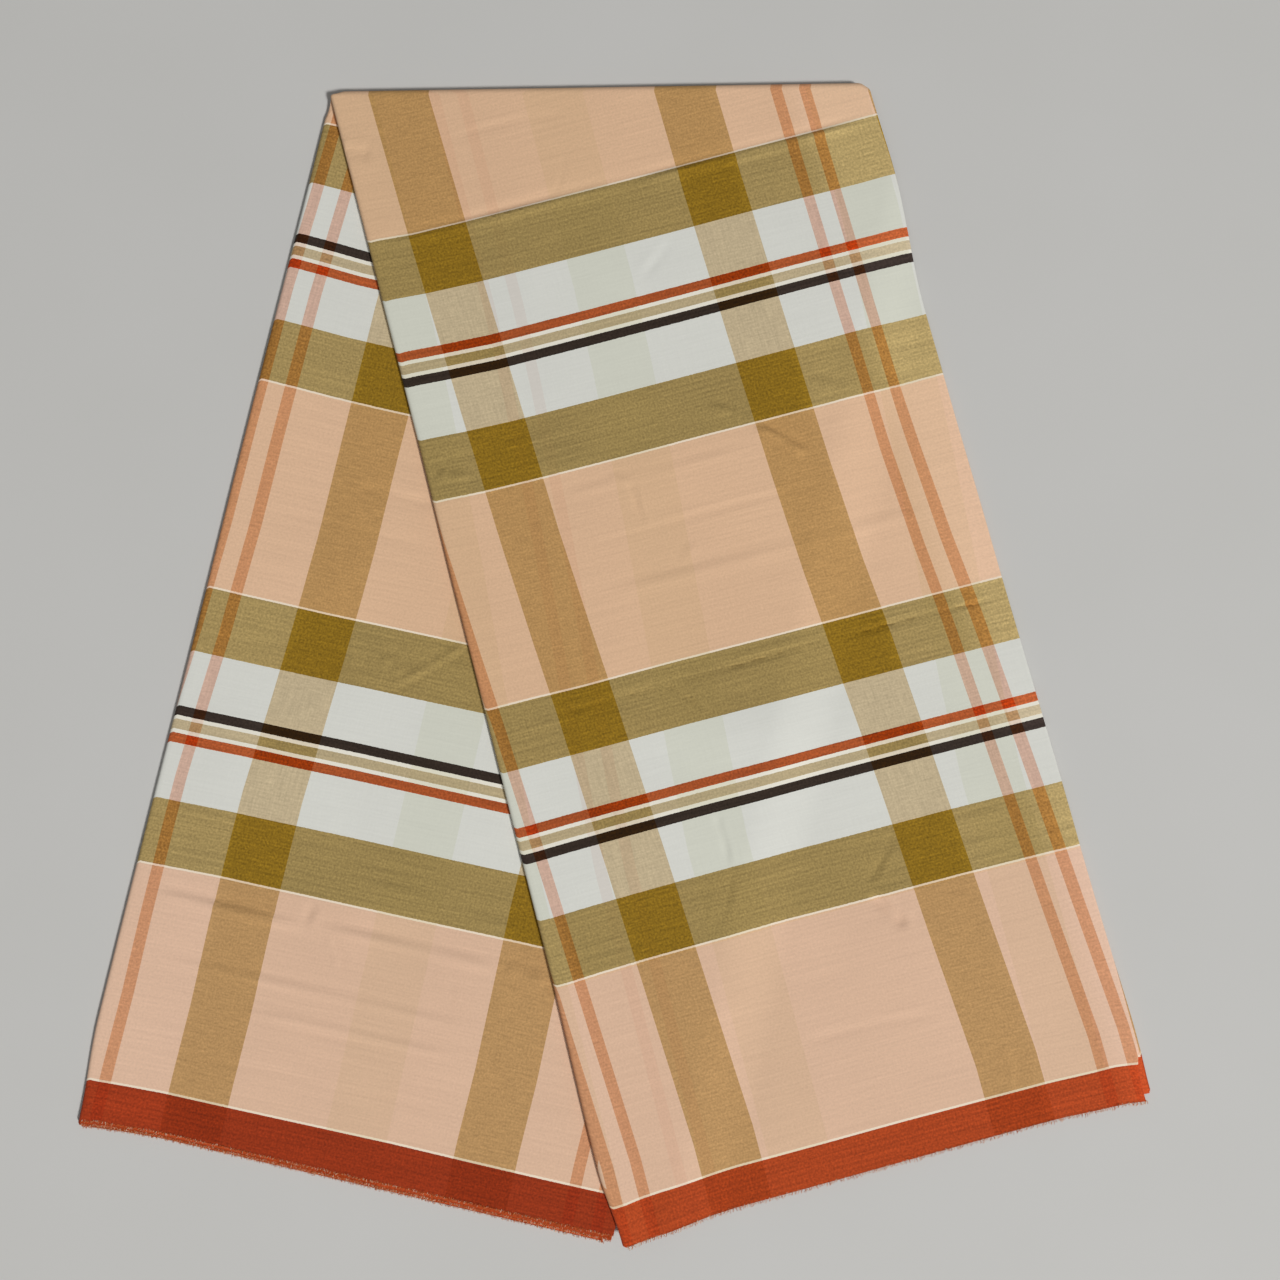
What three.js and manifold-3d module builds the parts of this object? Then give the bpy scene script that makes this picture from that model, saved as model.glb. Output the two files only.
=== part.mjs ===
// A checked cotton lungi, folded lengthwise into a flat strip of eight plies and folded over once.
//
// Units are millimetres, +Z up, and the cloth rests on Z = 0. The fold-over line runs along X at the far
// (+Y) end. The upper leaf runs from it towards -Y and +X, the lower leaf towards -Y and -X, each leaning
// by the same angle, so the two spread like a pair of compasses.
//
// Places on the strip have three coordinates:
//   across  from the thick folded edge on the left (0) to the edge of loose plies on the right (stripWidth)
//   run     distance from the fold-over line towards a hem, along the strip
//   depth   from the face that the two leaves press together (0) to the strip's other face (stripDepth)
import * as THREE from "three";
import { mergeVertices } from "three/addons/utils/BufferGeometryUtils.js";
import Module from "manifold-3d";

const wasm = await Module();
wasm.setup();

// Driving sizes
const stripWidth = 281;
const lean = THREE.MathUtils.degToRad(13.7); // each leaf's angle from the fold-over line's normal
const upperRun = 619; // the upper leaf's left edge, fold-over line to frayed hem
const lowerRun = 555; // the lower leaf's left edge
const wall = 1; // the face plies
const plyGap = 0.3; // between the face plies and the folded-away ones, and where the stretches part
const innerDepth = 1.4; // the folded-away plies, pressed together
const turnRadius = 0.25; // inside of the fold-over
const stripDepth = 2 * wall + 2 * plyGap + innerDepth;
const edgeRadius = stripDepth / 2; // the thick left edge is half round
const plyRound = 0.35; // how far a folded ply's edge bulges past its flat faces
const turnCentre = stripDepth + turnRadius; // height of the fold-over's axis
const upperRest = stripDepth + 2 * turnRadius; // height of the upper leaf's underside on the lower leaf

// The fold-over wraps round its axis while the strip slides left, by this much for a whole half turn.
const turnSlide = Math.PI * (turnRadius + stripDepth / 2) * Math.tan(lean);

// Past the lower leaf's right edge the upper leaf keeps level for a little way, then comes to the floor.
const dropStart = 20;
const dropEnd = 56;

// The lower leaf lies flat up to this far from the upper leaf's edge, and swells freely from the second on.
const clearStart = 32;
const clearEnd = 64;

// The fold-over's right corner is rounded off: over this width it comes back this far.
const cornerWidth = 9;
const cornerPull = 5;

// Mesh density
const acrossStops = [8, 32, 62, 94, 126, 158, 190, 222, 252, 272];
const leafRows = [0.015, 0.05, ...Array.from({ length: 16 }, (_, i) => 0.1 + (i * 0.85) / 15), 0.985];
const turnSteps = 6; // round the fold-over
const edgeSteps = 4; // round the left edge

// How each leaf departs from a straight strip, by the share of its run from the fold-over to the hem
const upperOutline = [
  { share: 0, left: 0, right: 0 },
  { share: 0.08, left: 0, right: 0.8 },
  { share: 0.3, left: -0.3, right: -1.8 },
  { share: 0.45, left: -1.2, right: -1.6 },
  { share: 0.75, left: -2, right: 0 },
  { share: 0.94, left: -3.6, right: 1.2 },
  { share: 1, left: -0.8, right: -2 },
];
const lowerOutline = [
  { share: 0, left: 0, right: 0 },
  { share: 0.4, left: -1.2, right: 0 },
  { share: 0.9, left: -2.2, right: 0 },
  { share: 1, left: 0.8, right: -1 },
];

// How far each hem stands back from its full run, by the share of the width. The corners reach furthest.
const upperHem = [
  { share: 0, back: 0 },
  { share: 0.06, back: 1.5 },
  { share: 0.2, back: 3.2 },
  { share: 0.8, back: 3.8 },
  { share: 0.93, back: 2.4 },
  { share: 1, back: 0.4 },
];
const lowerHem = [
  { share: 0, back: 0 },
  { share: 0.05, back: 3.2 },
  { share: 0.16, back: 5 },
  { share: 0.4, back: 4.6 },
  { share: 1, back: 4.3 },
];

// The largest soft swells, where the cloth stands off the plies under it
const upperSwells = [
  { across: 30, run: 90, wide: 40, long: 110, rise: 0.7 },
  { across: 205, run: 60, wide: 60, long: 45, rise: 0.5 },
  { across: 130, run: 205, wide: 70, long: 50, rise: 0.6 },
  { across: 235, run: 240, wide: 45, long: 90, rise: 0.7 },
  { across: 150, run: 350, wide: 120, long: 30, rise: 1.0 },
  { across: 40, run: 430, wide: 45, long: 70, rise: 0.6 },
  { across: 190, run: 480, wide: 60, long: 60, rise: 0.6 },
  { across: 100, run: 560, wide: 60, long: 40, rise: 0.7 },
];
const lowerSwells = [
  { across: 35, run: 120, wide: 40, long: 70, rise: 0.5 },
  { across: 60, run: 265, wide: 55, long: 40, rise: 0.8 },
  { across: 40, run: 370, wide: 50, long: 60, rise: 0.5 },
  { across: 120, run: 440, wide: 90, long: 28, rise: 0.9 },
  { across: 150, run: 530, wide: 70, long: 45, rise: 0.5 },
];

// The folded-away plies, from the pressed-together face outwards. Each ends where its own folds fall:
// back is how far it stands back from the full run at each hem, tuck from the right edge.
const innerPlies = [
  { from: 0, to: 0.36, left: 0.3, upperBack: 3.5, lowerBack: 3.6, tuckFold: 2.2, tuckHem: 0.6 },
  { from: 0.32, to: 0.68, left: 0, upperBack: 1.6, lowerBack: 2.2, tuckFold: 0.6, tuckHem: 0 },
  { from: 0.64, to: 1, left: 0.3, upperBack: 2.6, lowerBack: 1, tuckFold: 1.5, tuckHem: 2 },
];
// The face plies' right edges stand back by this much at the fold-over, half way and at the hem.
const outerTuck = { fold: 2.4, middle: 0.8, hem: 2.6 };
const pressedTuck = { fold: 1, middle: 1.4, hem: 1 };
// The pressed-together face stands back from the full run by this much.
const pressedBack = { upper: 2.2, lower: 5 };

const smooth = (t) => t * t * (3 - 2 * t);

// The named column of a table at a share between its rows
function tableValue(table, share, column) {
  const next = Math.max(1, table.findIndex((row) => row.share >= share));
  const [a, b] = [table[next - 1], table[next]];
  return THREE.MathUtils.lerp(a[column], b[column], smooth((share - a.share) / (b.share - a.share)));
}

// Height that the swells add to the strip's outer face
function swellHeight(swells, across, run) {
  let rise = 0;
  for (const swell of swells) {
    const away = Math.hypot((across - swell.across) / swell.wide, (run - swell.run) / swell.long);
    if (away < 1) rise += swell.rise * (0.5 + 0.5 * Math.cos(Math.PI * away));
  }
  return rise;
}

// How high the upper leaf's underside lies: on the lower leaf, or down on the floor beyond its right edge
function upperLift(x, y) {
  const lowerEdge = stripWidth / Math.cos(lean) - turnSlide + y * Math.tan(lean);
  const beyond = (x - lowerEdge) * Math.cos(lean);
  const share = THREE.MathUtils.clamp((beyond - dropStart) / (dropEnd - dropStart), 0, 1);
  return upperRest * (1 - smooth(share));
}

// How far the fold-over stands back from its line
function foldPull(across) {
  return cornerPull * smooth(THREE.MathUtils.clamp((across - stripWidth) / cornerWidth + 1, 0, 1));
}

// The run at a share of a leaf. Only the hem row knows how far its own ply stands back, so that every other
// row lies at the same place on every ply.
function runAt(share, fullRun, across, back) {
  const pull = foldPull(across);
  return pull + share * (fullRun - pull) - (share === 1 ? back : 0);
}

// A place on the upper leaf, share being that of its run
function upperPlace(across, share, depth, back) {
  const hem = tableValue(upperHem, across / stripWidth, "back");
  const run = runAt(share, upperRun - across * Math.tan(lean) - hem, across, back);
  const left = tableValue(upperOutline, share, "left");
  const right = tableValue(upperOutline, share, "right");
  const side = across + THREE.MathUtils.lerp(left, right, across / stripWidth);
  const x = side / Math.cos(lean) + run * Math.sin(lean);
  const y = -run * Math.cos(lean);
  const swell = swellHeight(upperSwells, across, run);
  return new THREE.Vector3(x, y, upperLift(x, y) + depth + (swell * depth) / stripDepth);
}

// A place on the lower leaf, which lies upside down under the upper one
function lowerPlace(across, share, depth, back) {
  const hem = tableValue(lowerHem, across / stripWidth, "back");
  const run = runAt(share, lowerRun + across * Math.tan(lean) - hem, across, back);
  const left = tableValue(lowerOutline, share, "left");
  const right = tableValue(lowerOutline, share, "right");
  const side = across + THREE.MathUtils.lerp(left, right, across / stripWidth);
  const x = side / Math.cos(lean) - turnSlide - run * Math.sin(lean);
  const high = 1 - depth / stripDepth; // the pressed-together face is uppermost here
  const swell = swellHeight(lowerSwells, across, run) * lowerClear(x, -run * Math.cos(lean));
  return new THREE.Vector3(x, -run * Math.cos(lean), stripDepth - depth + swell * high);
}

// The lower leaf swells only where the upper leaf doesn't lie on it, from a little way off to its full rise.
function lowerClear(x, y) {
  const upperEdge = -y * Math.tan(lean);
  return smooth(THREE.MathUtils.clamp((upperEdge - x - clearStart) / (clearEnd - clearStart), 0, 1));
}

// A place in the fold-over, turn being 0 on the upper leaf and 1 on the lower one
function turnPlace(across, turn, depth) {
  const radius = turnRadius + depth;
  const pull = foldPull(across);
  const y = radius * Math.sin(turn * Math.PI) - pull * Math.cos(lean);
  const x = across / Math.cos(lean) + pull * Math.sin(lean) * Math.cos(turn * Math.PI) - turn * turnSlide;
  return new THREE.Vector3(x, y, turnCentre + radius * Math.cos(turn * Math.PI));
}

// The rows of a stretch. Each has its share of the run, and a function that places a point of the section.
function upperRows(backAt) {
  return [1, ...leafRows.toReversed(), 0].map((share) => ({
    share,
    place: (across, depth) => upperPlace(across, share, depth, backAt(depth)),
  }));
}

function lowerRows(backAt) {
  return [0, ...leafRows, 1].map((share) => ({
    share,
    place: (across, depth) => lowerPlace(across, share, depth, backAt(depth)),
  }));
}

// Rows round the fold-over. fromGap and toGap are 1 where that end is the middle of the turn, and stops half
// a gap short of it.
function turnRows(from, to, fromGap, toGap) {
  const steps = Math.round((to - from) * turnSteps);
  return Array.from({ length: steps + 1 }, (_, i) => {
    const done = i / steps;
    const place = (across, depth) => {
      const short = Math.asin(plyGap / 2 / (turnRadius + depth)) / Math.PI;
      const turn = THREE.MathUtils.lerp(from + fromGap * short, to - toGap * short, done);
      return turnPlace(across, turn, depth);
    };
    return { share: 0, place };
  });
}

// A band's section: two matched paths, with a rounded tip between their starts and one between their ends.
// The closed ring of points runs along the outer path, over its end's tip, and back along the inner path.
function bandSection(outer, inner, startTip, endTip) {
  return { ring: [...outer, endTip, ...inner.toReversed(), startTip], pathLength: outer.length };
}

// The face plies: over the top, round the thick left edge and back underneath
function faceSection(share) {
  const tuck = (t) =>
    share < 0.5
      ? THREE.MathUtils.lerp(t.fold, t.middle, smooth(share * 2))
      : THREE.MathUtils.lerp(t.middle, t.hem, smooth(share * 2 - 1));
  const outerEnd = stripWidth - tuck(outerTuck) - plyRound;
  const pressedEnd = stripWidth - tuck(pressedTuck) - plyRound;
  const path = (inset) => {
    const points = [{ across: outerEnd, depth: stripDepth - inset }];
    for (const across of acrossStops.toReversed()) points.push({ across, depth: stripDepth - inset });
    for (let i = 0; i <= edgeSteps; i++) {
      const angle = Math.PI / 2 + (i * Math.PI) / edgeSteps;
      points.push({
        across: edgeRadius + (edgeRadius - inset) * Math.cos(angle),
        depth: edgeRadius + (edgeRadius - inset) * Math.sin(angle),
      });
    }
    for (const across of acrossStops) points.push({ across, depth: inset });
    points.push({ across: pressedEnd, depth: inset });
    return points;
  };
  return bandSection(
    path(0),
    path(wall),
    { across: outerEnd + plyRound, depth: stripDepth - wall / 2 },
    { across: pressedEnd + plyRound, depth: wall / 2 },
  );
}

// One folded-away ply
function innerSection(ply, share) {
  const low = wall + plyGap;
  const bottom = low + ply.from * innerDepth;
  const top = low + ply.to * innerDepth;
  const end = stripWidth - THREE.MathUtils.lerp(ply.tuckFold, ply.tuckHem, share) - plyRound;
  const start = wall + plyGap + ply.left + plyRound;
  const path = (depth) =>
    [start, ...acrossStops, end].toReversed().map((across) => ({ across, depth }));
  const middle = (top + bottom) / 2;
  return bandSection(
    path(top),
    path(bottom),
    { across: end + plyRound, depth: middle },
    { across: start - plyRound, depth: middle },
  );
}

// A closed geometry from a section swept through rows. Diagonals lean the same way on every ply, so that the
// gap between two plies stays even where the cloth comes down.
function sweep(rows, sectionAt) {
  const sections = rows.map((row) => sectionAt(row.share));
  const { ring, pathLength } = sections[0];
  const count = ring.length;
  const position = rows.flatMap((row, r) =>
    sections[r].ring.flatMap((point) => row.place(point.across, point.depth).toArray()),
  );
  const index = [];
  for (let row = 0; row + 1 < rows.length; row++) {
    for (let i = 0; i < count; i++) {
      const next = (i + 1) % count;
      const [a, b, c, d] = [i, next, next + count, i + count].map((k) => row * count + k);
      const leftward = ring[next].across < ring[i].across;
      index.push(...(leftward ? [a, c, b, a, d, c] : [a, d, b, b, d, c]));
    }
  }
  // Each end is closed by strips between the two paths and a triangle at each tip.
  const close = (row, flip) => {
    const face = (a, b, c) => index.push(...[a, flip ? b : c, flip ? c : b].map((k) => row * count + k));
    const opposite = (i) => count - 2 - i;
    for (let i = 0; i + 1 < pathLength; i++) {
      face(i, opposite(i), opposite(i + 1));
      face(i, opposite(i + 1), i + 1);
    }
    face(0, count - 1, count - 2);
    face(pathLength - 1, pathLength + 1, pathLength);
  };
  close(0, false);
  close(rows.length - 1, true);
  const geometry = new THREE.BufferGeometry();
  geometry.setAttribute("position", new THREE.Float32BufferAttribute(position, 3));
  geometry.setIndex(index);
  return geometry;
}

function toManifold(geometry) {
  const merged = mergeVertices(geometry, 1e-4);
  return new wasm.Manifold(
    new wasm.Mesh({
      numProp: 3,
      vertProperties: merged.attributes.position.array,
      triVerts: new Uint32Array(merged.index.array),
    }),
  );
}

function fromManifold(solid) {
  const mesh = solid.getMesh();
  const geometry = new THREE.BufferGeometry();
  geometry.setAttribute("position", new THREE.BufferAttribute(mesh.vertProperties, 3));
  geometry.setIndex(new THREE.BufferAttribute(mesh.triVerts, 1));
  return geometry;
}

const cotton = (color) => new THREE.MeshStandardMaterial({ color, roughness: 0.92, metalness: 0 });

// The stretch of the face plies on the upper leaf, from its hem to the middle of the fold-over
function makeUpperLeaf() {
  const leaf = upperRows((depth) => pressedBack.upper * (1 - depth / stripDepth));
  const turn = turnRows(0, 0.5, 0, 1).slice(1);
  return sweep([...leaf, ...turn], faceSection);
}

// The stretch on the lower leaf, from the middle of the fold-over to its hem
function makeLowerLeaf() {
  const turn = turnRows(0.5, 1, 1, 0).slice(0, -1);
  const leaf = lowerRows((depth) => pressedBack.lower * (1 - depth / stripDepth));
  return sweep([...turn, ...leaf], faceSection);
}

// The folded-away plies run through both leaves, stepped at the hems and along the right edge.
function makeInnerPlies() {
  const turn = turnRows(0, 1, 0, 0).slice(1, -1);
  const plies = innerPlies.map((ply) => {
    const rows = [...upperRows(() => ply.upperBack), ...turn, ...lowerRows(() => ply.lowerBack)];
    return toManifold(sweep(rows, (share) => innerSection(ply, share)));
  });
  return fromManifold(plies.reduce((joined, ply) => joined.add(ply)));
}

const lungi = new THREE.Group();
lungi.name = "lungi";
for (const [name, geometry, color] of [
  ["front_leaf", makeUpperLeaf(), 0xd0ac8c],
  ["back_leaf", makeLowerLeaf(), 0xbb9362],
  ["inner_plies", makeInnerPlies(), 0x9f3e1a],
]) {
  const mesh = new THREE.Mesh(geometry, cotton(color));
  mesh.name = name;
  lungi.add(mesh);
}

// Stand the part on its origin: the middle of its footprint, on the floor.
const box = new THREE.Box3().setFromObject(lungi);
lungi.position.set(-(box.min.x + box.max.x) / 2, -(box.min.y + box.max.y) / 2, -box.min.z);

export default lungi;
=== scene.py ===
"""A checked cotton lungi, folded lengthwise into a strip of eight plies and folded over once, laid flat."""

from math import cos, pi, radians, sin, tan

import bpy
import numpy as np
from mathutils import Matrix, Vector


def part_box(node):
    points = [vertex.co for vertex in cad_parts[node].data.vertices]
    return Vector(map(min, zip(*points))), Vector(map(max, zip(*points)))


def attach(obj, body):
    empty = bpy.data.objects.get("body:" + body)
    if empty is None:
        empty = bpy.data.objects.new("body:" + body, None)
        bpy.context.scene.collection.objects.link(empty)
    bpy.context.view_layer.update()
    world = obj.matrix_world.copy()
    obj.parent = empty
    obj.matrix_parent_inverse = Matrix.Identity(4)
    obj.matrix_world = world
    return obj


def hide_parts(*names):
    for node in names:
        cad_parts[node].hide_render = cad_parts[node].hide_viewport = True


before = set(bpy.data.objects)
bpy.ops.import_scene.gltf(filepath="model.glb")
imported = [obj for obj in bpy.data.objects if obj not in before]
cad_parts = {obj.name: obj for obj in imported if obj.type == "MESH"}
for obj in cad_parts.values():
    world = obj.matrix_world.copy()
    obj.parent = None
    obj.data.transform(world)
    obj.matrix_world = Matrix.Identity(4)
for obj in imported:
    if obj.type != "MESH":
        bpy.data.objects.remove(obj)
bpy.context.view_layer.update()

# Camera. It looks almost straight down on the cloth from 0.67 m up, as someone does who bends over it.
# Places here and below are millimetres from the left end of the fold-over line, +X along the line and -Y
# towards the hems.
MM = 0.001
turn_reach = 4.247  # the fold-over bulges this far past its own axis
turn_left = 0.825  # and this far past the line's left end
fold_low, fold_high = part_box("front_leaf")
FOLD_X = fold_low.x + turn_left * MM
FOLD_Y = fold_high.y - turn_reach * MM

camera_place = (156.4, -338.3, 673.3)
camera_tilt = (3.803, -0.252, -1.078)  # degrees off straight down, round X, Y and Z
picture_width = 1280
focal_pixels = 1282
sensor_width = 36.0

camera_data = bpy.data.cameras.new("camera")
camera_data.sensor_width = sensor_width
camera_data.lens = sensor_width * focal_pixels / picture_width
camera_data.clip_start = 0.01
camera = bpy.data.objects.new("camera", camera_data)
camera.location = (FOLD_X + camera_place[0] * MM, FOLD_Y + camera_place[1] * MM, camera_place[2] * MM)
camera.rotation_euler = [radians(angle) for angle in camera_tilt]
bpy.context.scene.collection.objects.link(camera)
bpy.context.scene.camera = camera

# Room. A plain pale floor under a soft lamp low enough on the right to bring out creases, a weaker one
# overhead, and an even glow all round.
bpy.context.scene.view_settings.view_transform = "Standard"


def linear(hex_colour, alpha=1.0):
    """An sRGB hex colour as linear red, green, blue and alpha."""
    parts = [int(hex_colour[i : i + 2], 16) / 255 for i in (1, 3, 5)]
    return (*(c / 12.92 if c <= 0.04045 else ((c + 0.055) / 1.055) ** 2.4 for c in parts), alpha)


def add_node(tree, kind, inputs=(), **settings):
    """A node with its settings. inputs gives its sockets, in their order or by name or number, a value each,
    or the node or socket that feeds it."""
    node = tree.nodes.new(kind)
    for name, value in settings.items():
        setattr(node, name, value)
    for name, value in inputs.items() if isinstance(inputs, dict) else enumerate(inputs):
        if isinstance(value, bpy.types.Node):
            value = next(socket for socket in value.outputs if socket.enabled)
        if isinstance(value, bpy.types.NodeSocket):
            tree.links.new(value, node.inputs[name])
        else:
            node.inputs[name].default_value = value
    return node


def new_material(name, finish):
    """A material, its tree, and its Principled shader, with a value for each socket that finish names."""
    material = bpy.data.materials.new(name)
    material.use_nodes = True
    tree = material.node_tree
    tree.nodes.clear()
    shader = add_node(tree, "ShaderNodeBsdfPrincipled", finish)
    add_node(tree, "ShaderNodeOutputMaterial", {"Surface": shader})
    return material, tree, shader


def soft_lamp(name, place, aim, size, power):
    """A square white area lamp that points at aim, in metres and watts."""
    data = bpy.data.lights.new(name, "AREA")
    data.size = size
    data.energy = power
    lamp = bpy.data.objects.new(name, data)
    lamp.location = place
    lamp.rotation_euler = (Vector(aim) - Vector(place)).to_track_quat("-Z", "Y").to_euler()
    bpy.context.scene.collection.objects.link(lamp)


soft_lamp("main_lamp", place=(3.4, -4.0, 6.05), aim=(0.02, -0.03, 0), size=1.1, power=531)
soft_lamp("overhead_lamp", place=(-0.6, -0.2, 2.2), aim=(0, 0, 0), size=1.2, power=4.5)
glow = 0.13
world = bpy.data.worlds.new("room")
world.use_nodes = True
background = world.node_tree.nodes["Background"]
background.inputs["Color"].default_value = linear("#FFFFFF")
background.inputs["Strength"].default_value = glow
bpy.context.scene.world = world

floor_half = 3.0
floor_drop = 0.0001  # keeps the floor's plane clear of the cloth's flat underside
corners = [(x * floor_half, y * floor_half, -floor_drop) for x, y in ((-1, -1), (1, -1), (1, 1), (-1, 1))]
floor_mesh = bpy.data.meshes.new("floor")
floor_mesh.from_pydata(corners, [], [(0, 1, 2, 3)])
floor = bpy.data.objects.new("floor", floor_mesh)
bpy.context.scene.collection.objects.link(floor)
floor_paint, floor_tree, floor_shader = new_material("pale_matt_floor", {"Roughness": 0.85})
floor_grain = add_node(floor_tree, "ShaderNodeTexNoise", {"Scale": 60.0, "Detail": 3.0})
floor_greys = {0: floor_grain, 6: linear("#C8C7C3"), 7: linear("#CCCBC8")}
floor_tint = add_node(floor_tree, "ShaderNodeMix", floor_greys, data_type="RGBA")
floor_tree.links.new(floor_tint.outputs[2], floor_shader.inputs["Base Color"])
floor_mesh.materials.append(floor_paint)

# Upper leaf. The stretch of the one woven length that shows on top: the outermost of eight plies, which
# wraps round the thick left edge and back underneath, and rolls over the plies' folds on the right.
# Plain-woven cotton, pressed flat by hand, with the rust selvedge border at its hem.
STRIP_WIDTH = 281.0
STRIP_DEPTH = 4.0
LEAN = radians(13.7)  # each leaf's angle from the fold-over line's normal
EDGE_RADIUS = STRIP_DEPTH / 2
ROLL_RADIUS = 0.95  # the right edge's upper four plies turn over together
PLY = 0.35  # thickness of the cotton with its crimp
TURN_RADIUS = 0.25  # inside of the fold-over
TURN_CENTRE = STRIP_DEPTH + TURN_RADIUS
UPPER_REST = STRIP_DEPTH + 2 * TURN_RADIUS  # height of the upper leaf's underside where it lies on the lower
TURN_SLIDE = pi * (TURN_RADIUS + STRIP_DEPTH / 2) * tan(LEAN)
UPPER_RUN = 619.0
LOWER_RUN = 555.0
DROP_START, DROP_END = 20.0, 56.0  # past the lower leaf's right edge the upper one comes down to the floor
CORNER_WIDTH, CORNER_PULL = 5.0, 3.0  # the fold-over's right corner is rounded off
LIP_WIDTH, LIP_PULL = 8.0, 10.0  # and its left one is drawn in on the lower leaf

# How each side departs from a straight strip, by the share of the run from the fold-over to the hem
UPPER_OUTLINE = {
    "share": [0, 0.08, 0.22, 0.3, 0.45, 0.75, 0.94, 1],
    "left": [0, 0, -0.2, -0.3, -1.2, -2, -3.6, -0.8],
    "right": [0, 0.8, -2.4, -2.2, -1.6, 0, 1.2, 0],
}
# How far the hem stands back, by the share of the width
UPPER_HEM = {"share": [0, 0.06, 0.2, 0.8, 0.93, 1], "back": [0, 1.5, 3.2, 3.8, 2.4, 0.4]}
# How far the two limbs' right edges stand back, by the share of the run
TUCK = {
    "share": [0, 0.5, 0.85, 0.945, 0.975, 1],
    "outer": [0.4, 0.8, 1.4, 2.0, 4.6, 4.6],
    "pressed": [1, 1, 0.7, 0.3, 0, 0],
}

# The largest soft swells, where the cloth stands off the plies under it: each one's middle, across and down
# the run, its half width and half length, and its rise
UPPER_SWELLS = [
    (30, 90, 40, 110, 0.7),
    (205, 60, 60, 45, 0.5),
    (130, 205, 70, 50, 0.6),
    (235, 240, 45, 90, 0.7),
    (150, 350, 120, 30, 1.0),
    (40, 430, 45, 70, 0.6),
    (190, 480, 60, 60, 0.6),
    (100, 560, 60, 40, 0.7),
]
# Creases: each one's start and end as (across, down the leaf), how far its middle strays sideways, its half
# width, and its rise, which is negative for a trough
UPPER_CREASES = [
    ((34, 350.2), (97, 350), 0.5, 1.5, -0.75),
    ((88, 348.8), (196, 346.8), -1.2, 1.6, -1.06),
    ((186, 349), (279, 350.5), 0.9, 1.3, -1.06),
    ((93.4, 347.5), (110.4, 368.5), 1.0, 1.3, -1.25),
    ((159, 347), (173, 360), 0.6, 1.3, 0.49),
    ((165, 346), (182, 355), 0.4, 1.5, 0.22),
    ((188.7, 453.8), (165.7, 477.8), 1.2, 2.0, -0.66),
    ((167.6, 479.3), (182.6, 502.3), 0.0, 3.1, -1.25),
    ((101.8, 420), (101.8, 450), 0.7, 1.6, -0.59),
    ((104, 448), (89, 478), 1.2, 1.5, -0.48),
    ((94, 453), (82, 476), 0.8, 1.5, 0.25),
    ((112.7, 61.3), (100.7, 84.3), 2.0, 1.3, -0.20),
    ((135.9, 139.6), (156.9, 122.6), 0.0, 2.5, -0.26),
    ((93.2, 236), (103.2, 244), 0.5, 1.6, 0.34),
    ((103.3, 242.1), (105.3, 266.1), -0.6, 1.6, -0.55),
    ((173.3, 229.7), (197.3, 252.7), 1.0, 2.0, 1.41),
    ((119.3, 290.5), (128.3, 282.5), 0.0, 2.5, 0.26),
    ((153.8, 213.1), (163.8, 222.1), 0.3, 2.0, 0.78),
    ((158.5, 216), (169.5, 224), 0.4, 2.0, 0.64),
    ((208.1, 214.8), (222.1, 221.8), 0.6, 3.1, 0.90),
    ((2.1, 206.8), (15.1, 213.8), 0.9, 2.0, -0.75),
    ((5.8, 212.5), (21.8, 219.5), 1.0, 3.1, 0.90),
    ((65.9, 209.5), (85.9, 214.5), 0.7, 3.1, -0.42),
    ((-1.7, 32.3), (13.3, 35.3), 0.8, 3.1, -0.67),
    ((1.9, 43.3), (17.9, 41.3), 0.0, 3.1, 0.14),
    ((56, 38), (122, 41), 1.4, 1.8, -0.31),
    ((62, 239.7), (176, 240.7), -0.8, 2.0, 0.26),
    ((64, 270), (214, 268), 1.0, 1.5, -0.31),
    ((60, 296.2), (262, 295.2), -1.5, 3.1, 0.35),
    ((213.5, 572.1), (212.5, 594.1), 0.8, 2.0, 0.45),
    ((62, 523.5), (112, 525.5), 0.7, 1.1, -0.15),
    ((110, 545), (190, 549), 1.6, 2.1, -0.29),
    ((94, 604), (99, 618), 0.4, 1.5, 0.28),
    ((214, 599), (213, 616), -0.4, 1.5, -0.29),
    ((222, 601), (223, 617), 0.3, 1.5, 0.46),
    ((2, 87.6), (150, 87), 0.4, 2.4, 1.50),
    ((132, 87), (277, 86.2), -0.4, 2.4, 1.43),
    ((40, 600), (37, 617), 0.3, 1.5, -0.22),
]

# The check. Bands run along the strip's width, warp yarns of one colour each, and repeat from the selvedge
# in. Each one's width follows.
BORDER_TO_BORDER = 1138.1
EDGE_LINE = 1.6  # the cream line between a rust border and the first peach band
BANDS = [
    ("peach", 110.1),
    ("cream", 1.7),
    ("olive", 32.9),
    ("white", 28.6),
    ("black", 5.3),
    ("ivory", 2.1),
    ("beige", 5.0),
    ("ivory", 2.1),
    ("red", 5.2),
    ("white", 28.6),
    ("olive", 32.9),
    ("cream", 1.7),
]
# Stripes cross them, weft yarns, mirrored about the middle of each pair of thin ones.
STRIPE_REPEAT = 255.5
STRIPES = [("plain", 4.2), ("salmon", 6.0), ("plain", 27.8), ("tan", 31.6), ("plain", 58.15)]
TAN_START = sum(width for _, width in STRIPES[:3])
# Distance from the top leaf's left edge to its first tan stripe, by the distance down the leaf. The cloth
# was folded a little out of square, so the stripes drift across it.
UPPER_DRIFT = {"down": [3, 96, 183, 257, 433, 579], "tan": [20.2, 22.4, 25.3, 28.8, 39.3, 46.5]}
# The same to the middle of a plain stretch of the ply beneath, which shows through
UPPER_GHOST = {"down": [135, 180, 260, 386, 435], "middle": [61.3, 59.7, 55.3, 46.3, 43.6]}
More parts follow.
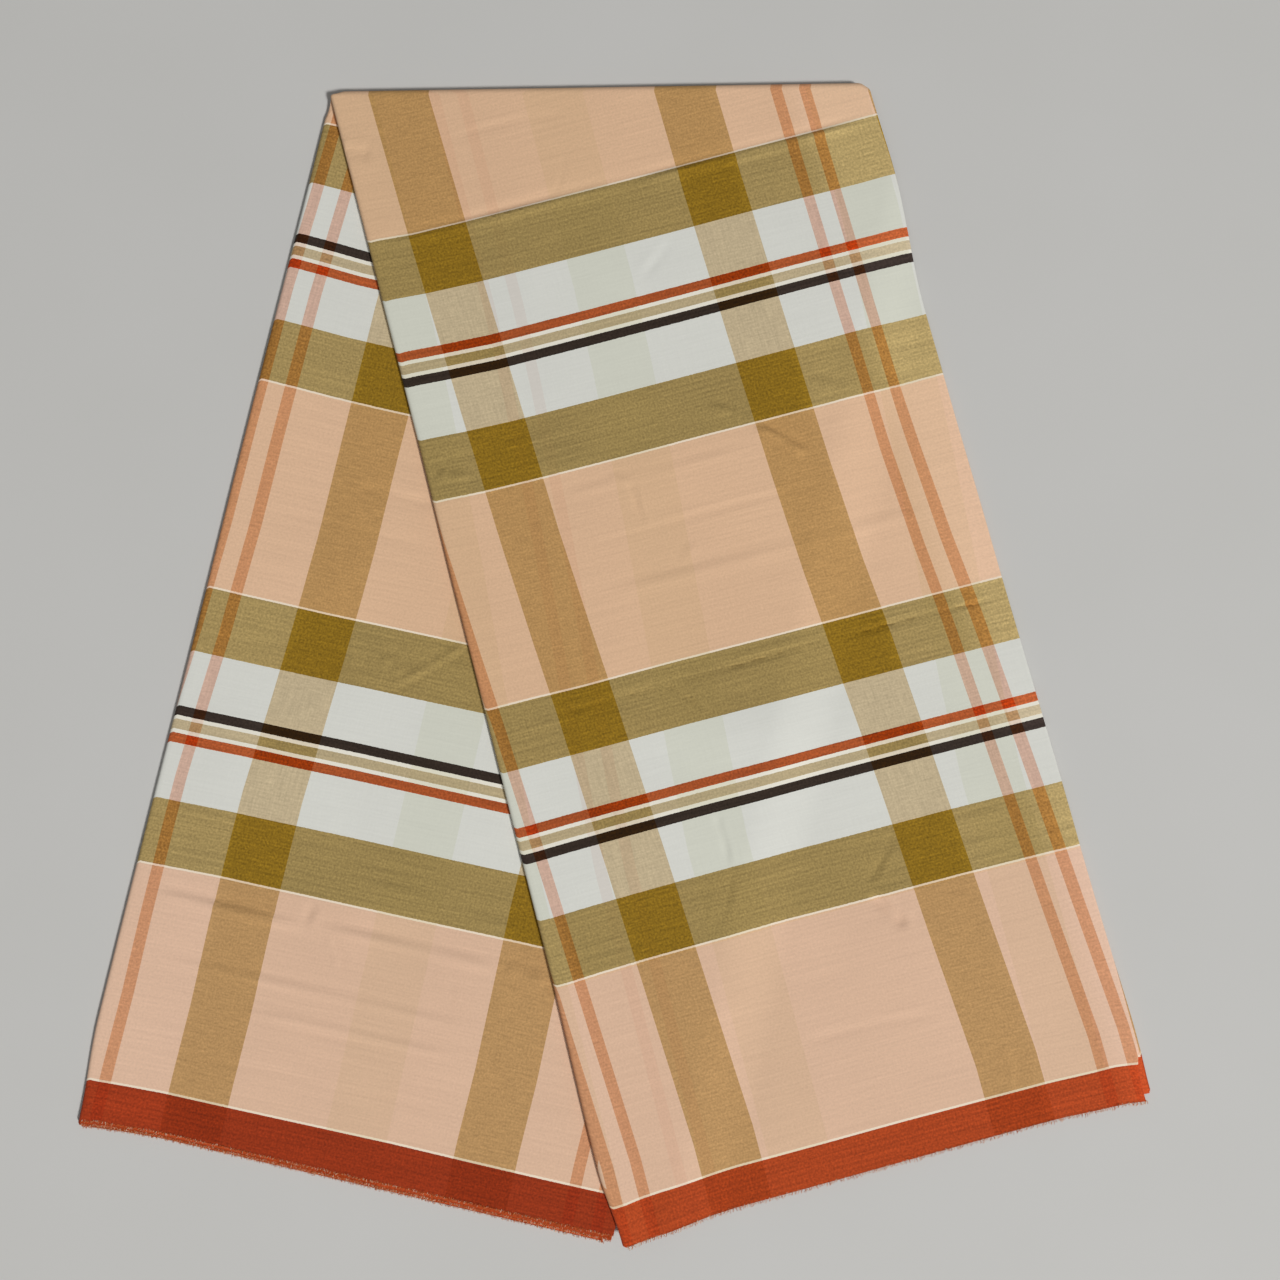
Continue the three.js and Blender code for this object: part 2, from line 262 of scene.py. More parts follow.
# How far the bands lie off straight lines, and the stripes off that drift, where the cloth was tugged in
# folding
UPPER_BAND_WANDER = {
    "down": [83, 155, 228, 338, 410, 484, 595],
    "across": [6, 25, 50, 100, 155, 215, 262, 274],
    "shift": [
        [-1.1, 0.7, 0.9, 0.8, 0.5, 0.0, -0.2, -0.4],
        [-1.5, -0.2, 1.1, 1.2, 1.1, 0.6, 0.6, 0.1],
        [-1.0, 0.1, 0.6, 1.0, 0.8, 0.9, 0.1, 0.0],
        [0.8, 0.9, 1.4, 1.1, 1.4, 1.4, 1.6, 1.7],
        [1.6, 1.2, 0.9, 0.6, 0.9, 1.1, 1.5, 1.7],
        [2.2, 1.3, 0.6, 0.2, 0.8, 0.9, 1.6, 1.9],
        [2.1, 1.0, 0.7, 0.4, 0.3, 0.6, 0.6, -0.4],
    ],
}
UPPER_STRIPE_WANDER = {
    "down": [20, 98, 180, 260, 312, 355, 435, 510, 580],
    "across": [5, 33, 64, 181, 213, 255, 279],
    "shift": [
        [-0.6, -0.9, -1.3, -0.2, 0.3, 0.3, 0.6],
        [-0.5, -0.5, -0.9, -0.9, 0.1, -0.1, 2.0],
        [-0.3, -0.2, -0.5, -1.1, -0.2, -1.5, 2.5],
        [-0.5, -0.6, -1.2, -1.8, -1.5, -1.5, 2.5],
        [-0.4, -0.6, -1.0, -2.1, -0.8, -1.6, 2.5],
        [0.0, -0.2, -0.6, -0.8, 0.5, -0.2, 2.5],
        [0.1, -0.4, -0.6, 0.2, 0.6, 0.2, 2.5],
        [0.3, -0.3, -0.4, 0.3, 1.8, 1.3, 3.0],
        [0.7, -0.1, -0.2, 1.7, 3.3, 2.7, 4.0],
    ],
}
# Where the bands lie off their even spacing, by the distance down the leaf
UPPER_EASE = {
    "down": [0, 83, 150, 229, 338, 400, 415, 484, 595],
    "shift": [1.3, 1.3, 1.4, 1.2, -0.6, -0.7, -1, -0.3, 0],
}
# How far the border strays at the ends of its hem, by the share of the width, and over what length it fades
HEM_SWAY = {"share": [0, 0.06, 0.2, 0.8, 0.93, 1], "shift": [1.2, 0.3, 0, 0, 0.9, 3.9]}
SWAY_LENGTH = 70.0
UPPER_BORDER_AT = 596.1  # down the upper leaf, where the rust border starts


def smooth(t):
    return t * t * (3 - 2 * t)


def clipped(value, start, end):
    """Eased from 0 at start to 1 at end."""
    return smooth(np.clip((value - start) / (end - start), 0, 1))


def eased(table, share, column):
    """A table's column at shares between its rows, eased from row to row."""
    shares, values = np.array(table["share"], float), np.array(table[column], float)
    row = np.clip(np.searchsorted(shares, share), 1, len(shares) - 1)
    part = (share - shares[row - 1]) / (shares[row] - shares[row - 1])
    return values[row - 1] + (values[row] - values[row - 1]) * smooth(np.clip(part, 0, 1))


def wander(table, down, across):
    """A table's shift, read between its rows and columns."""
    columns = np.stack([np.interp(across, table["across"], row) for row in table["shift"]])
    place = np.interp(down, table["down"], np.arange(len(columns)))
    row = np.minimum(place.astype(int), len(columns) - 2)
    above, below = (np.take_along_axis(columns, (row + step)[None], 0)[0] for step in (0, 1))
    return above + (below - above) * (place - row)


def swell_height(swells, across, run):
    height = np.zeros(np.broadcast(across, run).shape)
    for middle, middle_run, wide, long, rise in swells:
        away = np.hypot((across - middle) / wide, (run - middle_run) / long)
        height += rise * (0.5 + 0.5 * np.cos(pi * np.minimum(away, 1)))
    return height


CREASE_ENDS = 0.22  # the share of a crease over which it dies away at each end
UNEVEN, UNEVEN_OVER, UNEVEN_SHIFT = 0.3, 11, 2.4  # how much its rise varies, how fast, and where it starts
DIP, DIP_AWAY, DIP_WIDTH = 0.45, 1.6, 1.1  # the shallow dip beside it, by its own rise and width


def crease_height(creases, across, down):
    """Ridges and troughs, each with a shallow dip of the other sense beside it, uneven along its length."""
    height = np.zeros(np.broadcast(across, down).shape)
    for number, ((x0, y0), (x1, y1), bow, width, rise) in enumerate(creases):
        length = np.hypot(x1 - x0, y1 - y0)
        along = ((across - x0) * (x1 - x0) + (down - y0) * (y1 - y0)) / length**2
        aside = ((across - x0) * (y1 - y0) - (down - y0) * (x1 - x0)) / length
        away = (aside - bow * 4 * along * (1 - along)) / width
        ends = clipped(along, 0, CREASE_ENDS) * clipped(1 - along, 0, CREASE_ENDS)
        uneven = 1 + UNEVEN * np.sin(UNEVEN_OVER * along + UNEVEN_SHIFT * number)
        shape = np.exp(-(away**2)) - DIP * np.exp(-(((away - DIP_AWAY) / DIP_WIDTH) ** 2))
        height += rise * ends * uneven * shape
    return height


def fold_pull(across, turn):
    """How far the fold-over stands back at its corners. turn is 0 on the upper leaf, 1 on the lower one."""
    right = CORNER_PULL * clipped(across, STRIP_WIDTH - CORNER_WIDTH, STRIP_WIDTH)
    return right + LIP_PULL * smooth(turn) * clipped(LIP_WIDTH - across, 0, LIP_WIDTH)


def upper_lift(x, y):
    """Height of the upper leaf's underside: on the lower leaf, or on the floor beyond its right edge."""
    lower_edge = STRIP_WIDTH / cos(LEAN) - TURN_SLIDE + y * tan(LEAN)
    return UPPER_REST * (1 - clipped((x - lower_edge) * cos(LEAN), DROP_START, DROP_END))


def upper_place(across, share, depth, back, creased):
    """Points of the upper leaf, and where they are down and across it. creased is 1 on the face in view."""
    pull = fold_pull(across, 0)
    full = UPPER_RUN - across * tan(LEAN) - eased(UPPER_HEM, across / STRIP_WIDTH, "back")
    run = pull + share * (full - back - pull)
    left, right = (eased(UPPER_OUTLINE, share, side) for side in ("left", "right"))
    side = across + left + (right - left) * across / STRIP_WIDTH
    x = side / cos(LEAN) + run * sin(LEAN)
    y = -run * cos(LEAN)
    down = run + across * tan(LEAN)
    swell = swell_height(UPPER_SWELLS, across, run) * depth / STRIP_DEPTH
    z = upper_lift(x, y) + depth + swell + creased * crease_height(UPPER_CREASES, across, down)
    return np.stack([x, y, z], -1), down, side


def turn_place(across, turn, depth):
    """Points of the fold-over, turn being 0 at the upper leaf and 1 at the lower one."""
    radius, pull = TURN_RADIUS + depth, fold_pull(across, turn)
    x = across / cos(LEAN) + pull * sin(LEAN) * np.cos(turn * pi) - turn * TURN_SLIDE
    y = radius * np.sin(turn * pi) - pull * cos(LEAN)
    return np.stack([x, y, TURN_CENTRE + radius * np.cos(turn * pi)], -1)


def upper_pattern(path, side, down, back):
    """Where the upper leaf's points lie in the check: along the stripes' repeat, along the bands, and in the
    stripes of the ply beneath."""
    round_strip = path[:, 3] + (side - path[:, 0]) * (1 - 2 * path[:, 2])
    drift = np.interp(down, UPPER_DRIFT["down"], UPPER_DRIFT["tan"])
    ghost = np.interp(down, UPPER_GHOST["down"], UPPER_GHOST["middle"])
    near_hem = clipped(down, UPPER_BORDER_AT - SWAY_LENGTH, UPPER_BORDER_AT)
    sway = near_hem * eased(HEM_SWAY, np.clip(side / STRIP_WIDTH, 0, 1), "shift")
    ease = np.interp(down, UPPER_EASE["down"], UPPER_EASE["shift"])
    bands = UPPER_BORDER_AT - down + ease + sway - back + wander(UPPER_BAND_WANDER, down, side)
    drift = drift + wander(UPPER_STRIPE_WANDER, down, side)
    return np.stack([round_strip - drift + TAN_START, bands, side - ghost], -1)


def wrapped_path(inset, outer_stops, pressed_stops, steps, rolled):
    """One side of a ply that wraps round the strip's left edge, from its outer limb's right end to its
    pressed limb's. Columns: across, depth, limb (0 outer, 1 pressed), and the distance round the strip."""
    radius = EDGE_RADIUS - inset
    points = []
    if rolled:
        middle, roll = STRIP_WIDTH - ROLL_RADIUS, ROLL_RADIUS - inset
        for angle in np.linspace(-pi / 2, pi / 2, steps, endpoint=False):
            depth = STRIP_DEPTH - ROLL_RADIUS + roll * sin(angle)
            points.append((middle + roll * cos(angle), depth, 0, middle + ROLL_RADIUS * (pi / 2 - angle)))
        outer_stops = [stop for stop in outer_stops if stop < middle - 0.5] + [middle]
    points += [(stop, STRIP_DEPTH - inset, 0, stop) for stop in reversed(outer_stops)]
    for share in np.linspace(0, 1, steps + 1):
        angle = pi / 2 + share * pi
        place = (EDGE_RADIUS + radius * cos(angle), EDGE_RADIUS + radius * sin(angle))
        points.append((*place, share, EDGE_RADIUS - EDGE_RADIUS * share * pi))
    points += [(stop, inset, 1, 2 * EDGE_RADIUS - pi * EDGE_RADIUS - stop) for stop in pressed_stops]
    return np.array(points)


def sweep_shell(rows, count_outside):
    """Vertices and faces of a closed shell from rows of matching rings. Each ring runs along the ply's
    outside, then back along its inside. The two ends are closed by zipping outside to inside."""
    row_count, ring = rows.shape[:2]
    here = np.arange(ring)
    after = (here + 1) % ring
    starts = np.arange(row_count - 1)[:, None] * ring
    quads = np.stack([starts + here, starts + after, starts + ring + after, starts + ring + here], -1)
    faces = quads.reshape(-1, 4).tolist()
    for row, flip in ((0, False), (row_count - 1, True)):
        outside = list(range(count_outside))
        inside = list(range(ring - 1, count_outside - 1, -1))
        points = rows[row]
        i = j = 0
        while i < len(outside) - 1 or j < len(inside) - 1:
            step_out = i < len(outside) - 1
            if step_out and j < len(inside) - 1:
                ahead_out = np.linalg.norm(points[outside[i + 1]] - points[inside[j]])
                ahead_in = np.linalg.norm(points[outside[i]] - points[inside[j + 1]])
                step_out = ahead_out <= ahead_in
            third = outside[i + 1] if step_out else inside[j + 1]
            face = [outside[i], inside[j], third]
            faces.append([row * ring + k for k in (face if flip else face[::-1])])
            i, j = (i + 1, j) if step_out else (i, j + 1)
    return rows.reshape(-1, 3), faces


def cloth_piece(name, points, faces, pattern, material):
    """A mesh object in the frame's metres, faces outward, with its place in the check as an attribute."""
    points = points * MM + np.array([FOLD_X, FOLD_Y, 0])
    triangles = np.array([f[:3] for f in faces] + [[f[0], f[2], f[3]] for f in faces if len(f) == 4])
    a, b, c = (points[triangles[:, k]] for k in range(3))
    if np.einsum("ij,ij->i", a, np.cross(b, c)).sum() < 0:
        faces = [f[::-1] for f in faces]
    mesh = bpy.data.meshes.new(name)
    mesh.from_pydata(points, [], faces)
    place = mesh.attributes.new("cloth", "FLOAT_VECTOR", "POINT")
    place.data.foreach_set("vector", pattern.reshape(-1).astype(np.float32))
    mesh.polygons.foreach_set("use_smooth", [True] * len(mesh.polygons))
    mesh.set_sharp_from_angle(angle=radians(48))
    mesh.materials.append(material)
    piece = bpy.data.objects.new(name, mesh)
    bpy.context.scene.collection.objects.link(piece)
    return piece


# Plain-woven yarn-dyed cotton. Each band has the warp's colour, and a stripe's weft tints what it crosses.
# Matt, with thick and thin yarns that show as fine streaks, mostly along the bands, and the ply beneath
# showing through where the cloth is palest.
YARNS = {  # colour, and how a stripe tints it: 0 as white, 0.3 as peach, 0.6 as olive, 0.9 as a dark one
    "peach": ("#E2BB98", 0.3),
    "cream": ("#F4E3CC", 0.0),
    "ivory": ("#EFEADB", 0.0),
    "olive": ("#A38B55", 0.6),
    "white": ("#DEDED6", 0.0),
    "black": ("#362B23", 0.9),
    "beige": ("#BCAA85", 0.3),
    "red": ("#AD552A", 0.9),
}
UPPER_RUST, LOWER_RUST = "#B0461D", "#9B3615"
# What the peach band next to a border, which is a little pinker, has of the others' red, green and blue, and
# what dark cloth gains where few plies of its own colour lie beneath
OUTER_PEACH = (1.0, 1.02, 1.12, 1)
FEW_BENEATH = (2.2, 2.35, 3.05, 1)
UNTINTED = (1, 1, 1, 1)
STRIPE_TINTS = {  # what is left of a band's red, green and blue under a stripe
    "on_white": {"plain": (1, 1, 1), "salmon": (0.925, 0.62, 0.52), "tan": (0.80, 0.645, 0.44)},
    "on_peach": {"plain": (1, 1, 1), "salmon": (0.83, 0.59, 0.43), "tan": (0.68, 0.595, 0.35)},
    "on_olive": {"plain": (1, 1, 1), "salmon": (0.94, 0.61, 0.35), "tan": (0.76, 0.61, 0.12)},
    "on_dark": {"plain": (1, 1, 1), "salmon": (1.0, 0.41, 0.06), "tan": (0.78, 0.44, 0.0)},
    "beneath": {"plain": (1, 1, 1), "salmon": (0.97, 0.915, 0.905), "tan": (0.94, 0.948, 0.885)},
}
MATH, MIX, RANGE = "ShaderNodeMath", "ShaderNodeMix", "ShaderNodeMapRange"  # a mix has 0, 6 and 7 as inputs
OVER = {"data_type": "RGBA"}
TIMES = {"data_type": "RGBA", "blend_type": "MULTIPLY"}


def stepped_ramp(factor, steps, total):
    """Hard steps of colour along factor. steps gives each one's width and colour."""
    ramp = add_node(weave, "ShaderNodeValToRGB", (factor,))
    stops = ramp.color_ramp.elements
    ramp.color_ramp.interpolation = "CONSTANT"
    place = 0.0
    for number, (width, colour) in enumerate(steps):
        stop = stops[0] if number == 0 else stops.new(place / total)
        stop.position = place / total
        stop.color = colour
        place += width
    stops.remove(stops[-1])
    return ramp


def streaks(across_per_mm, along_per_mm, detail):
    """Noise drawn out along one set of yarns, around 0.5."""
    scales = ((across_mm, across_per_mm), (along_mm, along_per_mm))
    scaled = [add_node(weave, MATH, scale, operation="MULTIPLY") for scale in scales]
    place = add_node(weave, "ShaderNodeCombineXYZ", scaled)
    return add_node(weave, "ShaderNodeTexNoise", {"Vector": place, "Scale": 1.0, "Detail": detail})


def half_repeats(mm):
    """How far a place across the stripes is along their mirrored half repeat, from 0 to 1."""
    mirrored = add_node(weave, MATH, (mm, STRIPE_REPEAT / 2), operation="PINGPONG")
    return add_node(weave, MATH, (mirrored, STRIPE_REPEAT / 2), operation="DIVIDE")


matt_cotton = {
    "Roughness": 0.85,
    "IOR": 1.5,
    "Specular IOR Level": 0.15,
    "Sheen Weight": 0.05,
    "Sheen Roughness": 0.5,
}
cotton, weave, cotton_shader = new_material("checked_plain_woven_cotton", matt_cotton)
place = add_node(weave, "ShaderNodeAttribute", attribute_name="cloth", attribute_type="GEOMETRY")
across_mm, along_mm, ghost_mm = add_node(weave, "ShaderNodeSeparateXYZ", (place.outputs["Vector"],)).outputs

# Yarns are 0.4 mm apart, and drawn 1 to 2 mm wide, which is as fine as shows from above.
long_streak = streaks(across_per_mm=0.02, along_per_mm=0.85, detail=3.0)
short_streak = streaks(across_per_mm=0.11, along_per_mm=1.0, detail=3.0)
weft_streak = streaks(across_per_mm=0.9, along_per_mm=0.05, detail=3.0)
fine_grain = streaks(across_per_mm=0.95, along_per_mm=0.8, detail=4.0)
cloudy = streaks(across_per_mm=0.018, along_per_mm=0.014, detail=2.0)

# Bands, with edges made ragged by the weft, between two borders
raggedness = 0.5
weft_side = add_node(weave, MATH, (weft_streak, 0.5), operation="SUBTRACT")
ragged_mm = add_node(weave, MATH, (weft_side, raggedness, along_mm), operation="MULTIPLY_ADD")
repeat = sum(width for _, width in BANDS)
last_band = BORDER_TO_BORDER - 2 * EDGE_LINE - 0.1
from_first = add_node(weave, MATH, (ragged_mm, EDGE_LINE), operation="SUBTRACT")
from_first = add_node(weave, MATH, (from_first, 0.0), operation="MAXIMUM")
from_first = add_node(weave, MATH, (from_first, last_band), operation="MINIMUM")
repeats = add_node(weave, MATH, (from_first, repeat), operation="DIVIDE")
band_share = add_node(weave, MATH, (repeats,), operation="FRACT")
bands = stepped_ramp(band_share, [(width, linear(*YARNS[yarn])) for yarn, width in BANDS], repeat)
off_middle = add_node(weave, MATH, (ragged_mm, BORDER_TO_BORDER / 2), operation="SUBTRACT")
from_middle = add_node(weave, MATH, (off_middle,), operation="ABSOLUTE")
in_edge_line, in_border, in_outer_peach = [
    add_node(weave, MATH, (from_middle, BORDER_TO_BORDER / 2 - inward), operation="GREATER_THAN")
    for inward in (0.7 * EDGE_LINE, 0.0, EDGE_LINE + BANDS[0][1])
]
at_far_border = add_node(weave, MATH, (off_middle, 0.0), operation="GREATER_THAN")
rust = add_node(weave, MIX, {0: at_far_border, 6: linear(UPPER_RUST), 7: linear(LOWER_RUST)}, **OVER)
banded = add_node(weave, MIX, {0: in_outer_peach, 6: bands, 7: OUTER_PEACH}, **TIMES)
banded = add_node(weave, MIX, {0: in_edge_line, 6: banded, 7: linear(YARNS["cream"][0])}, **OVER)
banded = add_node(weave, MIX, {0: in_border, 6: banded, 7: rust}, **OVER)
paleness = add_node(weave, "ShaderNodeRGBToBW", (banded,))

# Stripes, tinting each band in its own way, and those of the ply beneath
stripe_share, ghost_share = half_repeats(across_mm), half_repeats(ghost_mm)
on_white, on_peach, on_olive, on_dark, beneath = [
    stepped_ramp(share, [(width, (*tints[stripe], 1)) for stripe, width in STRIPES], STRIPE_REPEAT / 2)
    for tints, share in zip(STRIPE_TINTS.values(), [stripe_share] * 4 + [ghost_share])
]
border_as = add_node(weave, MATH, (in_border, YARNS["olive"][1]), operation="MULTIPLY")
tint_as = add_node(weave, MATH, (bands.outputs["Alpha"], border_as), operation="MAXIMUM")
tint = on_white
for start, end, next_tint in ((0, 0.3, on_peach), (0.3, 0.6, on_olive), (0.6, 0.9, on_dark)):
    step = add_node(weave, RANGE, (tint_as, start, end, 0, 1))
    tint = add_node(weave, MIX, {0: step, 6: tint, 7: next_tint}, **OVER)
# A border's warp is set so close that stripes barely show in it, and the palest lines are thick yarns that
# stand over the stripes' weft.
close_set = add_node(weave, MATH, (in_border, 0.5), operation="MULTIPLY")
thick_yarns = add_node(weave, RANGE, (paleness, 0.74, 0.77, 0, 0.55))
for hidden in (close_set, thick_yarns):
    tint = add_node(weave, MIX, {0: hidden, 6: tint, 7: UNTINTED}, **OVER)
checked = add_node(weave, MIX, {0: 1.0, 6: banded, 7: tint}, **TIMES)
see_through = add_node(weave, RANGE, (paleness, 0.25, 0.72, 0.2, 1))
checked = add_node(weave, MIX, {0: see_through, 6: checked, 7: beneath}, **TIMES)

# Olive looks lighter, and peach a little so, near the edges, where fewer plies of their own colour lie
# beneath.
right_start, right_end, left_start, left_end = [
    add_node(weave, RANGE, (across_mm, *ease), interpolation_type="SMOOTHSTEP")
    for ease in ((210, 218, 0, 0.10), (248, 272, 0, 0.30), (-44, -36, 0, 0.12), (3, 10, 1, 0))
]
near_edge = add_node(weave, MATH, (right_start, right_end), operation="ADD")
near_edge = add_node(weave, MATH, (left_start, left_end, near_edge), operation="MULTIPLY_ADD")
darkness = add_node(weave, RANGE, (paleness, 0.28, 0.65, 1.0, 0.0))
over_few = add_node(weave, MATH, (near_edge, darkness), operation="MULTIPLY")
checked = add_node(weave, MIX, {0: over_few, 6: checked, 7: FEW_BENEATH}, **TIMES)

# Thick and thin yarns, strongest where the cloth is dark or striped
tint_grey = add_node(weave, "ShaderNodeRGBToBW", (tint,))
in_stripe = add_node(weave, MATH, (1.0, tint_grey), operation="SUBTRACT")
on_pale = add_node(weave, RANGE, (paleness, 0.55, 0.7, 0.2, 0.9))
off_stripe = add_node(weave, RANGE, (paleness, 0.25, 0.5, 0.2, 0.05))
for noise, strength in (
    (long_streak, add_node(weave, RANGE, (paleness, 0.2, 0.6, 0.85, 0.09))),
    (fine_grain, add_node(weave, RANGE, (paleness, 0.2, 0.62, 1.3, 0.08))),
    (short_streak, add_node(weave, MATH, (in_stripe, 1.05, 0.04), operation="MULTIPLY_ADD")),
    (fine_grain, add_node(weave, MATH, (in_stripe, 1.2), operation="MULTIPLY")),
    (weft_streak, add_node(weave, MATH, (in_stripe, on_pale, off_stripe), operation="MULTIPLY_ADD")),
    (cloudy, 0.09),
):
    off_half = add_node(weave, MATH, (noise, 0.5), operation="SUBTRACT")
    amount = add_node(weave, MATH, (off_half, strength, 1.0), operation="MULTIPLY_ADD")
    grey = add_node(weave, "ShaderNodeCombineXYZ", [amount] * 3)
    checked = add_node(weave, MIX, {0: 1.0, 6: checked, 7: grey}, **TIMES)
weave.links.new(checked.outputs[2], cotton_shader.inputs["Base Color"])
both_ways = add_node(weave, MATH, (short_streak, fine_grain), operation="ADD")
relief = {"Height": both_ways, "Strength": 0.14, "Distance": 0.0003}
weave.links.new(add_node(weave, "ShaderNodeBump", relief).outputs["Normal"], cotton_shader.inputs["Normal"])

FINE = 1.65  # mesh spacing on a face that shows
FOLD_STEPS, TURN_STEPS = 8, 10  # facets round the left edge, and round each leaf's half of the fold-over
fine_stops = list(np.arange(EDGE_RADIUS + FINE, STRIP_WIDTH, FINE))
coarse_stops = list(np.linspace(EDGE_RADIUS + 4, STRIP_WIDTH - 12, 15))
coarse_stops += [STRIP_WIDTH - 6, STRIP_WIDTH - 2, STRIP_WIDTH]
UPPER_ROWS, LOWER_ROWS = 358, 330
LAST_ROW = 0.9985  # a row this far down the run keeps the hem's edge crisp
NEAR_HEM = (0.955, 0.98)  # shares of the run between which a pressed middle opens out for the hem
CREASE_ROOM = 1.3  # how much deeper the inner wall lies where creases need the room
CREASED_DEPTH = 1.5  # creases fade out this far round an edge
# How far the face ply's hem stands back, on the limb that shows outside and on the pressed one
FACE_BACK = {"upper": (0.0, 4.0), "lower": (0.0, 5.0)}


def off_edges(across):
    """0 at the strip's long edges, eased to 1 away from them."""
    return clipped(across, 8, 26) * clipped(STRIP_WIDTH - across, 10, 26)


def at_right(across):
    """Eased from 0 to 1 towards the strip's right edge."""
    return clipped(across, STRIP_WIDTH - 14, STRIP_WIDTH - 3)


def tucked(path, share):
    """A path's places across, with its right ends drawn back as far as they are at that share of the run."""
    outer, pressed = eased(TUCK, share, "outer"), eased(TUCK, share, "pressed")
    return path[:, 0] - (outer + (pressed - outer) * path[:, 2]) * at_right(path[:, 0])


def limb_back(backs, limb, across):
    """How far a limb's hem stands back, a little less where the plies are folded tight on the left."""
    outer, pressed = backs
    return (outer + (pressed - outer) * limb) * (0.8 + 0.2 * across / STRIP_WIDTH)


def face_ply(name, shown, outside, row_count, backs, placed, patterned):
    """One leaf's face ply with its half of the fold-over, and the hem lines of its limbs. shown is the limb
    that shows from above, 0 the outer one and 1 the pressed one."""
    inside = wrapped_path(PLY, coarse_stops, coarse_stops, FOLD_STEPS, rolled=True)[::-1]
    ring = np.vstack([outside, inside])
    depth, limb = ring[:, 1], ring[:, 2]
    is_outside = np.arange(len(ring)) < len(outside)
    shares = np.append(np.linspace(0, 1, row_count)[:-1], [LAST_ROW, 1])[:, None]
    across = tucked(ring, shares)
    room = off_edges(ring[:, 0]) * (1 - clipped(shares, *NEAR_HEM))
    inner_depth = depth + np.sign(EDGE_RADIUS - depth) * CREASE_ROOM * room
    back = limb_back(backs, limb, across)
    from_face = np.abs(depth - STRIP_DEPTH * (1 - shown))
    creased = is_outside * (1 - np.abs(limb - shown)) * clipped(-from_face, -CREASED_DEPTH, 0)
    leaf, down, side = placed(across, shares, np.where(is_outside, depth, inner_depth), back, creased)
    turns = np.linspace(0.5, shown, TURN_STEPS + 1)[:-1, None]
    turn_across = tucked(ring, np.zeros_like(turns))
    turn = turn_place(turn_across, turns, np.broadcast_to(depth, turn_across.shape))
    pattern = np.concatenate([turn_pattern(ring, turn_across, turns), patterned(ring, side, down, back)])
    points, faces = sweep_shell(np.concatenate([turn, leaf]), len(outside))
    hems = [leaf[-1][is_outside & (limb == k)] for k in (0, 1)]
    return cloth_piece(name, points, faces, pattern, cotton), hems


# Lower leaf's check, which the fold-over runs into
LOWER_DRIFT = {"down": [0, 111, 232, 368, 519], "tan": [51.2, 50.6, 48.8, 43.1, 42.5]}
LOWER_STRETCH = 1.02
LOWER_BAND_WANDER = {
    "down": [44, 80, 157, 270, 303, 340, 400, 526],
    "across": [5, 20, 40, 65, 95, 125, 160, 200, 240],
    "shift": [
        [1.4, 0.8, -0.2, -0.3, -0.3, -0.3, -0.3, -0.3, -0.3],
        [2.1, 1.3, 0.0, -0.1, 0.0, 0.0, 0.0, 0.0, 0.0],
        [2.3, 1.8, 1.0, 0.5, 0.4, 0.4, 0.4, 0.4, 0.4],
        [1.7, 1.4, 1.3, 1.0, 1.2, 1.3, 1.3, 1.3, 1.3],
        [1.0, 0.9, 0.9, 0.9, 1.2, 1.2, 1.4, 1.4, 1.4],
        [0.9, 1.0, 1.3, 1.3, 1.6, 1.6, 1.6, 1.6, 1.6],
        [0.6, 1.0, 1.5, 1.5, 1.7, 1.7, 1.6, 1.8, 1.8],
        [-0.6, 0.1, 0.8, 0.8, 0.9, 1.1, 1.2, 0.7, 0.4],
    ],
}
LOWER_STRIPE_WANDER = {
    "down": [10, 60, 105, 180, 260, 290, 318, 397, 440, 480, 515],
    "across": [15, 50, 82, 210],
    "shift": [
        [2.5, 2.5, 2.5, 2.5],
        [0.6, 0.8, 0.8, 0.8],
        [-1.5, -0.4, -0.9, -0.6],
        [-1.8, 0.2, -1.0, -0.5],
        [-1.2, 1.1, -0.3, 0.0],
        [-0.9, 1.0, -0.5, 0.0],
        [-1.4, 0.9, -1.0, -0.5],
        [-2.1, -0.4, -1.6, -1.7],
        [-2.1, -0.6, -1.7, -1.0],
        [-1.4, 0.2, -1.1, -0.4],
        [-1.7, 0.0, -1.5, -1.1],
    ],
}
LOWER_GHOST_MIDDLE, LOWER_GHOST_START = 87.0, 20.0
LOWER_EASE = {"down": [0, 157, 270, 340, 413, 526], "shift": [1.1, 1.1, 0.7, 0.5, 0, 0]}
LOWER_BORDER_AT = 526.6


def lower_pattern(path, side, down, back):
    """The same for the lower leaf, whose pressed face shows."""
    round_strip = path[:, 3] + (side - path[:, 0]) * (1 - 2 * path[:, 2])
    drift = np.interp(down, LOWER_DRIFT["down"], LOWER_DRIFT["tan"])
    drift = drift + wander(LOWER_STRIPE_WANDER, down, side)
    round_pressed = 2 * EDGE_RADIUS - pi * EDGE_RADIUS - round_strip
    stripes = (round_pressed - drift) / LOWER_STRETCH + TAN_START
    ease = np.interp(down, LOWER_EASE["down"], LOWER_EASE["shift"])
    bands = BORDER_TO_BORDER - LOWER_BORDER_AT + down + ease + back - FACE_BACK["lower"][1]
    bands = bands + wander(LOWER_BAND_WANDER, down, side)
    return np.stack([-stripes, bands, np.maximum(side - LOWER_GHOST_MIDDLE, LOWER_GHOST_START)], -1)


def turn_pattern(path, across, turn):
    upper = upper_pattern(path, across, across * tan(LEAN), 0)
    lower = lower_pattern(path, across, -across * tan(LEAN), FACE_BACK["lower"][1])
    return upper + (lower - upper) * turn[..., None]


